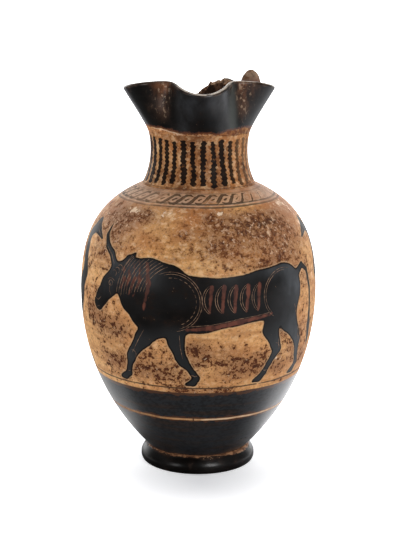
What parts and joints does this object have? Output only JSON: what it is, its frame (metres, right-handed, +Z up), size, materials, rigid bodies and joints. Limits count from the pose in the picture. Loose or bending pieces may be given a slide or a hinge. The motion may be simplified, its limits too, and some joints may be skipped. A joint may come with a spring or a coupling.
{
  "type": "oinochoe",
  "caption": "Fired clay wine jug with a pinched three-lobed pouring mouth, round body, ring foot and rolled handle, for dipping and pouring wine.",
  "frame": {"origin": "centre of the foot's resting plane, under the middle of the jug", "axes": "+Z up along the axis of the body, -Y towards the pouring spout, +Y towards the handle, +X to the right of someone facing the spout"},
  "size_m": [0.1802, 0.1802, 0.2996],
  "materials": {
    "foot_glaze": "satin",
    "body_clay": "satin",
    "neck_clay": "satin",
    "mouth_glaze": "satin",
    "handle_glaze": "satin",
    "rotelle_clay": "matte",
    "painted_figures": "satin",
    "painted_red": "matte"
  },
  "bodies": {
    "root": {"foot": "foot_glaze", "body": "body_clay", "neck": "neck_clay", "mouth": "mouth_glaze", "handle_left_roll": "handle_glaze", "handle_middle_roll": "handle_glaze", "handle_right_roll": "handle_glaze", "rotelle": "rotelle_clay"}
  },
  "joints": []
}
